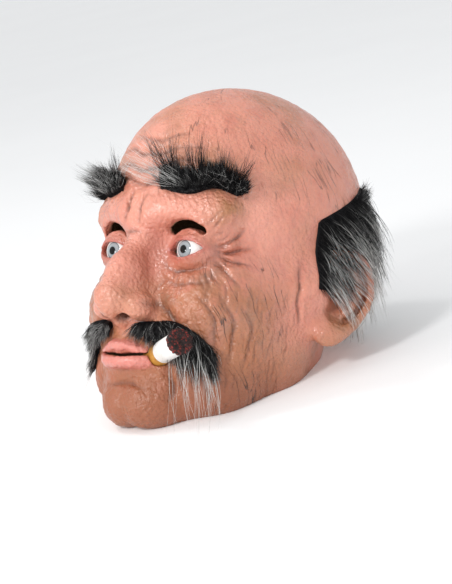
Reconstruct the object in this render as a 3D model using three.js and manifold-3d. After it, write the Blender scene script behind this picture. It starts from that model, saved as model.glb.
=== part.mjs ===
// Latex mask of an old man's whole head, bald, with fur brows, moustache and a fringe of hair, and a stub in the mouth.
// The head is worked out upright, in millimetres: chin at z 0, crown at z 300, face towards -y, its own left at +x.
// One group then tips it back, so that it stands on the flat edge round its neck opening.
import * as THREE from 'three';
import Module from 'manifold-3d';

const wasm = await Module();
wasm.setup();

// Driving dimensions
const TILT = THREE.MathUtils.degToRad(22);
const RIM_POINT = [0, -115, -1];
const MIDDLE = [0, -10, 150];
const WALL = 4.5;
const GAP = 0.3;
const FACET_ROOM = 0.5;
const EYE = [41, -96, 150];
const EYE_RADIUS = 15.6;
const EYE_BACK = 4;
const LID = 3.2;
const LID_OPENING = { half: 17.5, up: 7.4, down: 6.4 };
const PEEP_ARC = { radius: 21.2, half: 3.0, sweep: 0.72 };
const STUB = { from: [18, -117, 59], to: [69, -139, 73.5], radius: 9.5 };
const FILTER_LENGTH = 21;
const EMBER = { radius: 10.6, length: 7 };
const NOSE_AXIS_Y = -20;
const HAIR_AXIS_Y = 28;
const EAR = { centre: [101, 22, 122], flare: 34, lean: 15, wide: 26, tall: 38, rim: 4.4 };
const MOUTH = { halfWidth: 32, halfHeight: 1.5, front: -155, back: -90, height: (x) => 61 + 0.0016 * x * x };
const NOSTRIL = { from: [10, -148, 86], to: [10.5, -139, 99], radiusFrom: 4.8, radiusTo: 3.6 };
const NOSE_HOLLOW = { from: [0, -96, 128], to: [0, -141, 112], radiusFrom: 9, radiusTo: 9.5 };
const FACE_FRONT = -135;
const PEEP_BACK = -62;

// Furs: angles in degrees from straight ahead, heights and thicknesses in millimetres
const BROW = { inner: 13, outer: 54, low: 194, height: 16, rise: 20, thick: 16 };
const TASH = { inner: 8, outer: 41, top: 88, height: 15, thick: 10 };
const FRINGE = { front: 71, top: 180, risen: 44, bottom: 124, thick: 17, earAt: 0.12, earSpread: 0.055, earHeight: 16 };

// Small vector sums
const add = (a, b) => [a[0] + b[0], a[1] + b[1], a[2] + b[2]];
const scale = (a, k) => [a[0] * k, a[1] * k, a[2] * k];
const along = (a, direction, k) => add(a, scale(direction, k));
const less = (a, b) => [a[0] - b[0], a[1] - b[1], a[2] - b[2]];
const dot = (a, b) => a[0] * b[0] + a[1] * b[1] + a[2] * b[2];
const cross = (a, b) => [a[1] * b[2] - a[2] * b[1], a[2] * b[0] - a[0] * b[2], a[0] * b[1] - a[1] * b[0]];
const unit = (a) => scale(a, 1 / Math.hypot(...a));
const mix = (a, b, t) => a + (b - a) * t;
const clamp = THREE.MathUtils.clamp;
const degrees = THREE.MathUtils.degToRad;

// Distance fields: negative inside, positive outside
function ellipsoid(p, centre, radii) {
  const q = less(p, centre);
  const a = Math.hypot(q[0] / radii[0], q[1] / radii[1], q[2] / radii[2]);
  const b = Math.hypot(q[0] / radii[0] ** 2, q[1] / radii[1] ** 2, q[2] / radii[2] ** 2);
  return (a * (a - 1)) / Math.max(b, 1e-6);
}

function limb(p, from, to, radiusFrom, radiusTo) {
  const run = less(to, from);
  const t = clamp(dot(less(p, from), run) / dot(run, run), 0, 1);
  return Math.hypot(...less(p, along(from, run, t))) - mix(radiusFrom, radiusTo, t);
}

function join(a, b, soft) {
  const h = Math.max(soft - Math.abs(a - b), 0) / soft;
  return Math.min(a, b) - h * h * soft * 0.25;
}

const carve = (a, b, soft) => -join(-a, b, soft);

// Folds both halves of the face onto one, with a soft turn in the middle
const folded = (p) => [Math.sqrt(p[0] * p[0] + 9), p[1], p[2]];

function skull(p) {
  const m = folded(p);
  let d = ellipsoid(p, [0, 28, 180], [98, 99, 113]);
  d = join(d, ellipsoid(p, [0, -36, 194], [83, 84, 92]), 30);
  d = join(d, ellipsoid(p, [0, -2, 202], [88, 92, 95]), 30);
  d = join(d, ellipsoid(p, [0, -58, 112], [64, 58, 76]), 30);
  d = join(d, limb(m, [62, -74, 122], [84, -5, 126], 16, 14), 28);
  d = join(d, ellipsoid(m, [56, -48, 88], [32, 44, 40]), 30);
  d = join(d, limb(m, [60, -10, 62], [76, 4, 122], 18, 18), 30);
  d = join(d, limb(m, [57, -22, 52], [20, -102, 24], 20, 19), 26);
  d = join(d, ellipsoid(p, [0, -66, 56], [56, 56, 48]), 26);
  return join(d, limb(p, [0, 4, 110], [0, 30, 20], 70, 68), 34);
}

// Brow, sockets, cheeks, muzzle, jowls and chin, without the nose
function features(p) {
  const m = folded(p);
  let d = skull(p);
  d = join(d, limb(m, [15, -116, 181], [62, -91, 181], 11.5, 12), 20);
  d = join(d, ellipsoid(p, [0, -112, 172], [16, 13, 16]), 16);
  d = carve(d, ellipsoid(m, [42, -125, 153], [25, 25, 19]), 12);
  d = join(d, ellipsoid(p, [0, -94, 70], [44, 41, 40]), 22);
  d = join(d, ellipsoid(m, [46, -95, 100], [26, 23, 28]), 18);
  d = join(d, ellipsoid(m, [53, -66, 44], [23, 36, 28]), 22);
  return join(d, ellipsoid(m, [10, -116, 20], [19, 19, 18]), 16);
}

function nose(p) {
  const m = folded(p);
  let d = limb(p, [0, -115, 162], [0, -137, 130], 9.5, 12.5);
  d = join(d, limb(p, [0, -137, 130], [0, -150, 108], 11.5, 15.5), 14);
  d = join(d, ellipsoid(m, [17.5, -136, 101], [11, 14, 11.5]), 9);
  d = join(d, ellipsoid(p, [0, -120, 114], [17, 26, 27]), 10);
  return join(d, limb(p, [0, -152, 99], [0, -138, 91], 6.5, 7), 6);
}

// One lip: a roll along the arch of the mouth, thinning to its corners
function lip(p, height, radius, flat) {
  const x = folded(p)[0];
  const halfMouth = 37;
  const arch = -138.5 + 24 * (x / 36) ** 2;
  const slope = (48 * x) / 36 ** 2;
  const out = (p[1] - arch) / Math.hypot(1, slope);
  const taper = Math.sqrt(Math.max(1 - (x / 38) ** 2, 0));
  return Math.hypot(out, (p[2] - height(x)) * flat) - radius * taper + Math.max(x - halfMouth, 0);
}

function lips(p, d) {
  const bow = (x) => 67 + 2 * Math.exp(-(((x - 9) / 6.5) ** 2)) - 0.0055 * x * x;
  const bed = (x) => 55.5 + 0.002 * x * x;
  let e = join(d, lip(p, bow, 5.6, 1.25), 5);
  e = join(e, lip(p, bed, 7, 1.1), 5);
  return carve(e, ellipsoid(p, [0, -146, 38], [26, 9, 7]), 10);
}

function lids(p, d) {
  const m = folded(p);
  let e = join(d, ellipsoid(m, EYE, [22, EYE_RADIUS + LID, EYE_RADIUS + LID]), 6);
  e = join(e, limb(m, [27, -104, 131], [55, -93, 134], 4.5, 4.5), 8);
  return join(e, limb(m, [52, -101, 172], [66, -84, 158], 5.5, 4), 10);
}

const head = (p) => lids(p, lips(p, join(features(p), nose(p), 9)));
const hollow = (p) => features(p) + WALL;

// The ear's own directions: up along it, back across it and out from its plate
function earFrame(side) {
  const flare = degrees(EAR.flare);
  const lean = degrees(EAR.lean);
  const up = unit([-0.04, Math.sin(lean), Math.cos(lean)]);
  const rough = [Math.sin(flare), Math.cos(flare), -0.1];
  const back = unit(along(rough, up, -dot(rough, up)));
  const out = cross(back, up);
  const turn = (v) => [v[0] * side, v[1], v[2]];
  return { up: turn(up), back: turn(back), out: turn(out), centre: turn(EAR.centre) };
}

// A point of the ear's outline at an angle from straight back
function earEdge(angle) {
  const wide = Math.cos(angle) > 0 ? EAR.wide : EAR.wide * 0.72;
  const narrow = 1 - 0.3 * Math.max(0, -Math.sin(angle));
  return [wide * narrow * Math.cos(angle), 4 + 1.5 * Math.sin(angle), EAR.tall * Math.sin(angle)];
}

// The ear in its own frame: across, out and up
function ear(q) {
  let d = ellipsoid(q, [1, -1, 0], [EAR.wide, 5, EAR.tall - 2]);
  const stepAngle = 20;
  for (let a = 170; a > -70; a -= stepAngle) {
    d = join(d, limb(q, earEdge(degrees(a)), earEdge(degrees(a - stepAngle)), EAR.rim, EAR.rim), 3);
  }
  d = join(d, ellipsoid(q, [-4, 1, -36], [12, 6.5, 12]), 8);
  d = join(d, limb(q, [-17, -2, 22], [-13, -2, -34], 8, 7), 8);
  d = join(d, limb(q, [-6, -8, 14], [-6, -8, -18], 9, 8), 8);
  return carve(d, ellipsoid(q, [-1, 8, -4], [13, 10, 21]), 5);
}

// How far a ray from inside runs before it first leaves the field
function exit(field, from, direction) {
  let near = 0;
  let far = 0;
  let d = field(from);
  while (d < 0 && far < 400) {
    near = far;
    far += Math.max(-d * 0.8, 0.4);
    d = field(along(from, direction, far));
  }
  for (let i = 0; i < 14; i++) {
    const half = (near + far) / 2;
    if (field(along(from, direction, half)) < 0) near = half;
    else far = half;
  }
  return (near + far) / 2;
}

// How far out along a ray the field's outermost surface lies
function reach(field, from, direction, start) {
  let far = start;
  let d = field(along(from, direction, far));
  while (d > 0.02 && far > 0) {
    far -= Math.max(d * 0.8, 0.05);
    d = field(along(from, direction, far));
  }
  return Math.max(far, 0);
}

// Turns a closed body's points and triangles into a solid whose faces point out
function solid(points, triangles) {
  let volume = 0;
  for (const [a, b, c] of triangles) volume += dot(points[a], cross(points[b], points[c]));
  const facing = volume > 0 ? triangles : triangles.map(([a, b, c]) => [a, c, b]);
  return new wasm.Manifold(
    new wasm.Mesh({
      numProp: 3,
      vertProperties: new Float32Array(points.flat()),
      triVerts: new Uint32Array(facing.flat()),
    }),
  );
}

const mean = (ring) => scale(ring.reduce(add), 1 / ring.length);

// A body through a row of closed rings with the same number of points, closed at both ends
function loft(rings) {
  const n = rings[0].length;
  const points = rings.flat();
  const triangles = [];
  for (let r = 0; r + 1 < rings.length; r++) {
    for (let i = 0; i < n; i++) {
      const a = r * n + i;
      const b = r * n + ((i + 1) % n);
      triangles.push([a, b, b + n], [a, b + n, a + n]);
    }
  }
  const last = (rings.length - 1) * n;
  const firstMiddle = points.push(mean(rings[0])) - 1;
  const lastMiddle = points.push(mean(rings.at(-1))) - 1;
  for (let i = 0; i < n; i++) {
    const next = (i + 1) % n;
    triangles.push([firstMiddle, next, i], [lastMiddle, last + i, last + next]);
  }
  return solid(points, triangles);
}

// A body between two grids of points, an outer and an inner one
function slab(outer, inner) {
  const rows = outer.length;
  const columns = outer[0].length;
  const points = [...outer.flat(), ...inner.flat()];
  const under = rows * columns;
  const at = (r, c) => r * columns + c;
  const triangles = [];
  const quad = (a, b, c, d) => triangles.push([a, b, c], [a, c, d]);
  for (let r = 0; r + 1 < rows; r++) {
    for (let c = 0; c + 1 < columns; c++) {
      quad(at(r, c), at(r, c + 1), at(r + 1, c + 1), at(r + 1, c));
      quad(under + at(r, c), under + at(r + 1, c), under + at(r + 1, c + 1), under + at(r, c + 1));
    }
  }
  const wall = (a, b) => quad(b, a, under + a, under + b);
  for (let c = 0; c + 1 < columns; c++) {
    wall(at(0, c), at(0, c + 1));
    wall(at(rows - 1, c + 1), at(rows - 1, c));
  }
  for (let r = 0; r + 1 < rows; r++) {
    wall(at(r + 1, 0), at(r, 0));
    wall(at(r, columns - 1), at(r + 1, columns - 1));
  }
  return solid(points, triangles);
}

function ball(centre, radius, rings, sides) {
  const rows = [];
  for (let r = 1; r < rings; r++) {
    const polar = (Math.PI * r) / rings;
    rows.push(
      range(sides).map((i) => {
        const turn = (2 * Math.PI * i) / sides;
        const out = [Math.sin(polar) * Math.cos(turn), -Math.cos(polar), Math.sin(polar) * Math.sin(turn)];
        return along(centre, out, radius);
      }),
    );
  }
  return loft(rows);
}

const range = (n) => Array.from({ length: n }, (_, i) => i);

// A straight bar of the outline, which lies in x and z, running from one y to another
const bar = (outline, front, back) => loft([front, back].map((y) => outline.map(([x, z]) => [x, y, z])));

// A round bar between two points, with a radius at each
function rod(from, to, radiusFrom, radiusTo, sides) {
  const axis = unit(less(to, from));
  const side = unit(cross(axis, [0, 0, 1]));
  const up = cross(side, axis);
  const ring = (centre, radius) =>
    range(sides).map((i) => {
      const turn = (2 * Math.PI * i) / sides;
      return along(along(centre, side, radius * Math.cos(turn)), up, radius * Math.sin(turn));
    });
  return loft([ring(from, radiusFrom), ring(to, radiusTo)]);
}

// Rays from the middle of the head, in rows parallel to the neck opening; they are closest together over the face
const UP = [0, -Math.sin(TILT), Math.cos(TILT)];
const FRONT = [0, -Math.cos(TILT), -Math.sin(TILT)];
const CROWDING = 0.45;
const TOP_ROWS = 5;
const FACE_ROWS = 25;
const LOW_ROWS = 4;
const HEAD_COLUMNS = 52;
const HOLLOW_SHARE = 0.46;

function rowAngles(share) {
  const steps = (from, to, count) => {
    const n = Math.round(count * share);
    return range(n).map((i) => degrees(mix(from, to, i / n)));
  };
  return [...steps(80, 42, TOP_ROWS), ...steps(42, -42, FACE_ROWS), ...steps(-42, -74, LOW_ROWS)];
}

function columnAngles(count) {
  return range(count).map((i) => {
    const t = (2 * i) / count - 1;
    return Math.PI * t * (CROWDING + (1 - CROWDING) * t * t);
  });
}

function ray(turn, rise) {
  const level = add([Math.sin(turn), 0, 0], scale(FRONT, Math.cos(turn)));
  return add(scale(level, Math.cos(rise)), scale(UP, Math.sin(rise)));
}

function headSolid(field, share, columns) {
  const turns = columnAngles(columns);
  const ring = (rise) => turns.map((turn) => along(MIDDLE, ray(turn, rise), exit(field, MIDDLE, ray(turn, rise))));
  return loft(rowAngles(share).map(ring));
}

// Eye opening: two arcs through both corners of the lids
function almond() {
  const { half, up, down } = LID_OPENING;
  const slant = 0.05;
  const arc = (share, rise) => {
    const radius = (half * half + rise * rise) / (2 * rise);
    const x = half * share;
    return [x, Math.sqrt(radius * radius - x * x) - radius + rise];
  };
  const upper = range(9).map((i) => arc(1 - i / 4, up));
  const lower = range(7).map((i) => arc(-0.75 + i / 4, down)).map(([x, z]) => [x, -z]);
  return [...upper, ...lower].map(([x, z]) => [x, z + slant * x]);
}

// Slot to look through: a strip bent over the upper lid
function peepSlot() {
  const { radius, half, sweep } = PEEP_ARC;
  const strip = (offset, from, to) =>
    range(7).map((i) => {
      const a = mix(from, to, i / 6);
      return [(radius + offset) * Math.sin(a), (radius + offset) * Math.cos(a)];
    });
  return [...strip(half, -sweep, sweep), ...strip(-half, sweep, -sweep)];
}

function mouthSlot() {
  const { halfWidth, halfHeight, height } = MOUTH;
  const edge = (from, to, offset) => range(9).map((i) => mix(from, to, i / 8)).map((x) => [x, height(x) + offset]);
  return [...edge(halfWidth, -halfWidth, halfHeight), ...edge(-halfWidth, halfWidth, -halfHeight)];
}

function earSolid(side, level) {
  const { up, back, out, centre } = earFrame(side);
  const place = (q) => along(along(along(centre, back, q[0]), out, q[1]), up, q[2]);
  const start = [0, -2, 0];
  const rings = [];
  const rows = 9;
  for (let r = 1; r < rows; r++) {
    const polar = (Math.PI * r) / rows + 0.25 * Math.sin((2 * Math.PI * r) / rows);
    rings.push(
      range(16).map((i) => {
        const turn = (2 * Math.PI * i) / 16;
        const direction = [Math.sin(polar) * Math.cos(turn), Math.cos(polar), Math.sin(polar) * Math.sin(turn)];
        return place(along(start, direction, reach(ear, start, direction, 60) + level));
      }),
    );
  }
  return loft(rings);
}

const SIDES = [1, -1];
const mirror = (points, side) => points.map(([x, z]) => [x * side, z]);
const shifted = (points, x, z) => points.map((p) => [p[0] + x, p[1] + z]);

// Everything below the edge of the neck opening
function belowRim() {
  const reachOut = 400;
  const level = (y) => RIM_POINT[2] + (y - RIM_POINT[1]) * Math.tan(TILT);
  const ring = (drop) =>
    [[-1, -1], [1, -1], [1, 1], [-1, 1]].map(([x, y]) => [x * reachOut, y * reachOut, level(y * reachOut) - drop]);
  return loft([ring(0), ring(reachOut)]);
}

const taperedRod = ({ from, to, radiusFrom, radiusTo }, sides) => rod(from, to, radiusFrom, radiusTo, sides);

// A round bar about the cigarette's axis, from a distance along it
const stubAxis = unit(less(STUB.to, STUB.from));
const stubLength = Math.hypot(...less(STUB.to, STUB.from));
const stubRod = (start, length, radius) =>
  rod(along(STUB.from, stubAxis, start), along(STUB.from, stubAxis, start + length), radius, radius, 24);

function maskShell() {
  let body = headSolid(head, 1, HEAD_COLUMNS);
  for (const side of SIDES) body = body.add(earSolid(side, 0));
  body = body.subtract(headSolid(hollow, HOLLOW_SHARE, HEAD_COLUMNS / 2));
  body = body.subtract(taperedRod(NOSE_HOLLOW, 10));
  for (const side of SIDES) {
    const atEye = (outline) => shifted(mirror(outline, side), EYE[0] * side, EYE[2]);
    const nostril = taperedRod(NOSTRIL, 8);
    body = body.subtract(ball([EYE[0] * side, EYE[1], EYE[2]], EYE_RADIUS + GAP + FACET_ROOM, 10, 18));
    body = body.subtract(bar(atEye(almond()), FACE_FRONT, EYE[1]));
    body = body.subtract(bar(atEye(peepSlot()), FACE_FRONT, PEEP_BACK));
    body = body.subtract(side > 0 ? nostril : nostril.mirror([1, 0, 0]));
  }
  body = body.subtract(bar(mouthSlot(), MOUTH.front, MOUTH.back));
  body = body.subtract(stubRod(-GAP, stubLength * 1.5, STUB.radius + GAP));
  return body.subtract(belowRim());
}

// A point of the skin on a level ray from an upright axis, and the ray's direction
function onSkin(axisY, turn, z) {
  const direction = [Math.sin(turn), -Math.cos(turn), 0];
  const from = [0, axisY, z];
  return { point: along(from, direction, exit(head, from, direction)), direction };
}

// How high a point is above the flat edge of the neck opening
const aboveRim = (p) => dot(less(p, RIM_POINT), UP);

// A strip of fur: rows run from one edge to the other and every second column is a shorter, flatter lock
function furStrip({ columns, rows, place }) {
  const outer = [];
  const inner = [];
  for (let r = 0; r <= rows; r++) {
    const cells = range(columns + 1).map((c) => place(c / columns, r / rows, c % 2));
    outer.push(cells.map((cell) => cell.outer));
    inner.push(cells.map((cell) => cell.inner));
  }
  return slab(outer, inner);
}

const BACKING_GAP = 1.5;
const SUNK = 2;
const bulge = (t) => Math.sin(Math.PI * clamp(t, 0, 1));

function brow(side) {
  const place = (u, v, odd) => {
    const turn = degrees(mix(BROW.inner, BROW.outer, u));
    const low = BROW.low + 3 * bulge(u) + 3 * u;
    const { point, direction } = onSkin(NOSE_AXIS_Y, turn * side, low + v * (BROW.height - 3 * odd));
    const rise = v * v * (BROW.rise - 8 * odd) * (0.75 + 0.5 * u);
    const out = 3 + (BROW.thick - 5 * odd) * bulge(0.12 + 0.72 * v) * (0.75 + 0.25 * bulge(u)) + 6 * v * u;
    const swept = [side * 9 * v * u, 0, rise];
    return { outer: add(along(point, direction, out), swept), inner: along(point, direction, BACKING_GAP) };
  };
  return furStrip({ columns: 12, rows: 4, place });
}

// Half of the moustache: an arch from beside the nose's base down past the corner of the mouth
function moustache(side) {
  const place = (u, v, odd) => {
    const turn = degrees(mix(TASH.inner, TASH.outer, u));
    const top = TASH.top + 4 * bulge(0.9 * u) - 24 * u ** 3;
    const { point, direction } = onSkin(NOSE_AXIS_Y, turn * side, top - v * (TASH.height + 4 * u));
    const out = 3.5 + (TASH.thick - 3 * odd) * bulge(0.1 + 0.75 * v) + 3 * u;
    const outer = along(point, direction, out);
    const hang = Math.min(v ** 3 * (6 + 14 * u - 6 * odd * u), aboveRim(outer) - 4);
    return { outer: add(outer, [0, 0, -hang]), inner: along(point, direction, -SUNK) };
  };
  return furStrip({ columns: 10, rows: 3, place });
}

// Hair from temple to temple round the back; it lies over the upper half of each ear
function hairFringe() {
  const place = (u, v, odd) => {
    const toBack = bulge(u);
    const turn = degrees(mix(FRINGE.front, 360 - FRINGE.front, u));
    const top = FRINGE.top + FRINGE.risen * Math.min(1, 1.6 * toBack);
    const bottom = FRINGE.bottom - 16 * toBack;
    const { point, direction } = onSkin(HAIR_AXIS_Y, turn, mix(top, bottom, v));
    const fromEar = Math.min(Math.abs(u - FRINGE.earAt), Math.abs(1 - FRINGE.earAt - u)) / FRINGE.earSpread;
    const overEar = FRINGE.earHeight * Math.exp(-fromEar * fromEar) * THREE.MathUtils.smoothstep(v, 0.1, 0.6);
    const full = Math.min(1, 3 * v + 0.15) * (0.75 + 0.25 * toBack);
    const outer = along(point, direction, 3 + (FRINGE.thick - 4 * odd) * full + overEar);
    const hang = Math.min(v ** 4 * (20 - 9 * odd) * (1 - 0.5 * toBack), aboveRim(outer) - 4);
    const swept = [0, v * v * 12 * (1 - toBack), -hang];
    return { outer: add(outer, swept), inner: along(point, direction, BACKING_GAP) };
  };
  return furStrip({ columns: 27, rows: 6, place });
}

// Scene graph
function surface(body) {
  const mesh = body.getMesh();
  const geometry = new THREE.BufferGeometry();
  geometry.setAttribute('position', new THREE.BufferAttribute(new Float32Array(mesh.vertProperties), 3));
  geometry.setIndex(new THREE.BufferAttribute(new Uint32Array(mesh.triVerts), 1));
  geometry.computeVertexNormals();
  return geometry;
}

function paint(color, roughness) {
  return new THREE.MeshStandardMaterial({ color, roughness, metalness: 0, flatShading: true });
}

const mask = new THREE.Group();
const piece = (name, geometry, color, roughness) => {
  const mesh = new THREE.Mesh(geometry, paint(color, roughness));
  mesh.name = name;
  mask.add(mesh);
  return mesh;
};

// Domed plastic eye: a ball cut flat at its back, turned from its profile
function eyeGeometry() {
  const rim = Math.acos(EYE_BACK / EYE_RADIUS);
  const arc = range(7).map((i) => {
    const a = mix(0, Math.PI - rim, i / 6);
    return new THREE.Vector2(EYE_RADIUS * Math.sin(a), EYE_RADIUS * Math.cos(a));
  });
  arc[0].x = 0;
  return new THREE.LatheGeometry([...arc, new THREE.Vector2(0, -EYE_BACK)].reverse(), 18);
}

piece('mask_shell', surface(maskShell()), '#c68a72', 0.5);
for (const [name, side] of [['left_eye', 1], ['right_eye', -1]]) {
  const eye = piece(name, eyeGeometry(), '#e9e7e2', 0.15);
  eye.position.set(EYE[0] * side, EYE[1], EYE[2]);
  eye.rotation.x = Math.PI / 2;
}

const roundStub = stubRod(0, stubLength + 2, EMBER.radius + 1);
const swollenHead = headSolid((p) => head(p) - GAP, 1, HEAD_COLUMNS);
const ears = earSolid(1, GAP).add(earSolid(-1, GAP));
const FUR = '#1b1a1c';
piece('left_eyebrow', surface(brow(1)), FUR, 0.8);
piece('right_eyebrow', surface(brow(-1)), FUR, 0.8);
piece('left_moustache', surface(moustache(1).subtract(swollenHead).subtract(roundStub)), FUR, 0.8);
piece('right_moustache', surface(moustache(-1).subtract(swollenHead)), FUR, 0.8);
piece('hair_fringe', surface(hairFringe().subtract(ears)), FUR, 0.8);

const paperStart = FILTER_LENGTH + GAP;
const emberStart = stubLength - EMBER.length;
piece('cigarette_filter', surface(stubRod(0, FILTER_LENGTH, STUB.radius)), '#b5812f', 0.7);
piece('cigarette_paper', surface(stubRod(paperStart, emberStart - GAP - paperStart, STUB.radius)), '#ece9e4', 0.7);
piece('cigarette_ember', surface(stubRod(emberStart, EMBER.length, EMBER.radius)), '#5a1c16', 0.9);

// Standing on the edge of the neck opening, in the middle of its own bounds
mask.rotation.x = -TILT;
mask.updateMatrixWorld(true);
const rest = new THREE.Group();
rest.add(mask);
const bounds = new THREE.Box3().setFromObject(mask, true);
const middle = bounds.getCenter(new THREE.Vector3());
const rimLevel = -RIM_POINT[1] * Math.sin(TILT) + RIM_POINT[2] * Math.cos(TILT);
rest.position.set(-middle.x, -middle.y, -rimLevel);

export default rest;
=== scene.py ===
"""Latex mask of a bald old man: skin, eyes, furs and cigarette stub as they look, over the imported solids.

The head is sculpted upright in millimetres: chin at z 0, crown at z 300, face towards -y, its own left at +x.
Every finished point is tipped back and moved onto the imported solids, in metres.
"""
import math
from dataclasses import dataclass, replace
import bpy
import numpy as np
from mathutils import Matrix, Vector


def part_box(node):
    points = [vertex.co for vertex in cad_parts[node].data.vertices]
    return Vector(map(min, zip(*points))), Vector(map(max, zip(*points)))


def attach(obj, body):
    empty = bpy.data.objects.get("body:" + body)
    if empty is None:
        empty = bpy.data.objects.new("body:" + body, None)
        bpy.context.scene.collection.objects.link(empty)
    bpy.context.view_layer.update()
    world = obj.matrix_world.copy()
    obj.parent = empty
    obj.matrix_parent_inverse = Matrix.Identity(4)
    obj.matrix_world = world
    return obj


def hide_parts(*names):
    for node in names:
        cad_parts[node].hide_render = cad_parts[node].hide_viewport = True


MM = 0.001
TILT = math.radians(22)
ALOFT = np.array((0.0, 0.0, 1.0))
RIM_POINT = np.array((0.0, -115.0, -1.0))
UP = np.array((0.0, -math.sin(TILT), math.cos(TILT)))
WALL = 4.2
EYE = (41.0, -96.0, 150.0)
EYE_RADIUS, EYE_BACK, EYE_GAP = 15.6, 4.0, 0.3
LID, LID_OPENING = 3.2, (17.5, 7.4, 6.4)
IRIS, PUPIL = 7.3, 3.4
PEEP_RADIUS, PEEP_HALF, PEEP_SWEEP = 21.2, 3.3, 0.72
NOSTRIL = (9, -147, 88), (10.5, -139, 99), 4.6, 4.4
LIP_HALF, MOUTH_HALF = 36, 34
PEEP_BACK_Y, MOUTH_BACK_Y = -60, -92
STUB_FROM = np.array((18.0, -117.0, 59.0))
STUB_TO = np.array((69.0, -139.0, 73.5))
STUB_RADIUS, STUB_SIDES, STUB_GAP = 9.5, 64, 0.3
FILTER_LENGTH, EMBER_LENGTH, EMBER_RADIUS = 21.0, 7.0, 10.6
NOSE_AXIS_Y, HAIR_AXIS_Y = -20.0, 28.0
EAR_CENTRE = (101.0, 22.0, 122.0)
EAR_FLARE, EAR_LEAN = math.radians(34), math.radians(15)
EAR_WIDE, EAR_TALL = 26.0, 38.0
SKIN_LOW, SKIN_HIGH = (-130, -185, -45), (130, 150, 315)
SKIN_TRIANGLES = 196000
SKIN_STEP = 1.3
FACE_SIDE, FACE_TURN, FOREHEAD_TOP = -12.0, 1.9, 222

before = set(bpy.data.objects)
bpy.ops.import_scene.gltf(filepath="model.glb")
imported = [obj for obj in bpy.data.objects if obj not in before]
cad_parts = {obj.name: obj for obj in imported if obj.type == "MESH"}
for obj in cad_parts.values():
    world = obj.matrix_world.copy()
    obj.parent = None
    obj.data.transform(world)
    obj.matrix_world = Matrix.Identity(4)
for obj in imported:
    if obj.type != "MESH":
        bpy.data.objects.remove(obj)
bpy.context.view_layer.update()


def unit(v):
    return v / np.maximum(np.linalg.norm(v, axis=-1, keepdims=True), 1e-9)


def ramp(value, start, end):
    """0 up to start, 1 from end on, and straight between."""
    return np.clip((value - start) / (end - start), 0, 1)


def ease(value, start, end):
    """0 up to start, 1 from end on, and smooth between."""
    t = ramp(value, start, end)
    return t * t * (3 - 2 * t)


def fading(distance, reach):
    """1 within a form, and fading away outside it over about that reach."""
    return np.exp(-(np.maximum(distance, 0) / reach) ** 2)


# Distance fields for rows of points: negative inside, positive outside
def triple(*values):
    return np.array(values, np.float32)


def ellipsoid(p, centre, radii):
    q = p - triple(*centre)
    r = triple(*radii)
    a = np.linalg.norm(q / r, axis=1)
    b = np.linalg.norm(q / (r * r), axis=1)
    return a * (a - 1) / np.maximum(b, 1e-6)


def limb(p, start, end, radius_start, radius_end):
    """A rod with round ends."""
    start = triple(*start)
    run = triple(*end) - start
    t = np.clip((p - start) @ run / float(run @ run), 0, 1)
    radius = radius_start + (radius_end - radius_start) * t
    return np.linalg.norm(p - start - t[:, None] * run, axis=1) - radius


def join(a, b, soft):
    h = np.maximum(soft - np.abs(a - b), 0) / soft
    return np.minimum(a, b) - h * h * soft * 0.25


def carve(a, b, soft):
    return -join(-a, b, soft)


def folded(p):
    """Both halves of the face on one, with a soft turn in the middle."""
    m = p.copy()
    m[:, 0] = np.sqrt(p[:, 0] ** 2 + 9)
    return m


def skull(p, m):
    d = ellipsoid(p, (0, 28, 180), (98, 99, 113))
    d = join(d, ellipsoid(p, (0, -36, 194), (83, 84, 92)), 30)
    d = join(d, ellipsoid(p, (0, -2, 202), (88, 92, 95)), 30)
    d = join(d, ellipsoid(p, (0, -58, 112), (64, 58, 76)), 30)
    d = join(d, limb(m, (62, -74, 122), (84, -5, 126), 16, 14), 28)
    d = join(d, ellipsoid(m, (56, -48, 88), (32, 44, 40)), 30)
    d = join(d, limb(m, (60, -10, 62), (76, 4, 122), 18, 18), 30)
    d = join(d, limb(m, (57, -22, 52), (20, -102, 24), 20, 19), 26)
    d = join(d, ellipsoid(p, (0, -66, 56), (56, 56, 48)), 26)
    return join(d, limb(p, (0, 4, 110), (0, 30, 20), 70, 68), 34)


def bare_head(p):
    """Brow, sockets, cheeks, muzzle, jowls and chin on the skull, without nose, lips, lids and ears."""
    m = folded(p)
    d = skull(p, m)
    d = join(d, limb(m, (15, -116, 181), (62, -91, 181), 11.5, 12), 20)
    d = join(d, ellipsoid(p, (0, -112, 172), (16, 13, 16)), 16)
    d = carve(d, ellipsoid(m, (42, -125, 153), (25, 25, 19)), 12)
    d = join(d, ellipsoid(p, (0, -94, 70), (44, 41, 40)), 22)
    d = join(d, ellipsoid(m, (46, -95, 100), (26, 23, 28)), 18)
    d = join(d, ellipsoid(m, (53, -66, 44), (23, 36, 28)), 22)
    return join(d, ellipsoid(m, (10, -116, 20), (19, 19, 18)), 16)


def nose(p, m):
    d = limb(p, (0, -115, 162), (0, -137, 130), 9.5, 12.5)
    d = join(d, limb(p, (0, -137, 130), (0, -150, 108), 11.5, 15.5), 14)
    d = join(d, ellipsoid(m, (17.5, -136, 101), (11, 14, 11.5)), 9)
    d = join(d, ellipsoid(p, (0, -120, 114), (17, 26, 27)), 10)
    return join(d, limb(p, (0, -152, 99), (0, -138, 91), 6.5, 7), 6)


def lip(p, m, height, radius, flat):
    """One lip: a roll along the arch of the mouth, thinning to its corners."""
    x = m[:, 0]
    arch = -138.5 + 24 * (x / LIP_HALF) ** 2
    slope = 48 * x / LIP_HALF ** 2
    out = (p[:, 1] - arch) / np.sqrt(1 + slope * slope)
    taper = np.sqrt(np.clip(1 - (x / (LIP_HALF + 2)) ** 2, 0, 1))
    roll = np.sqrt(out ** 2 + ((p[:, 2] - height) * flat) ** 2)
    return roll - radius * taper + np.maximum(x - LIP_HALF - 1, 0)


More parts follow.
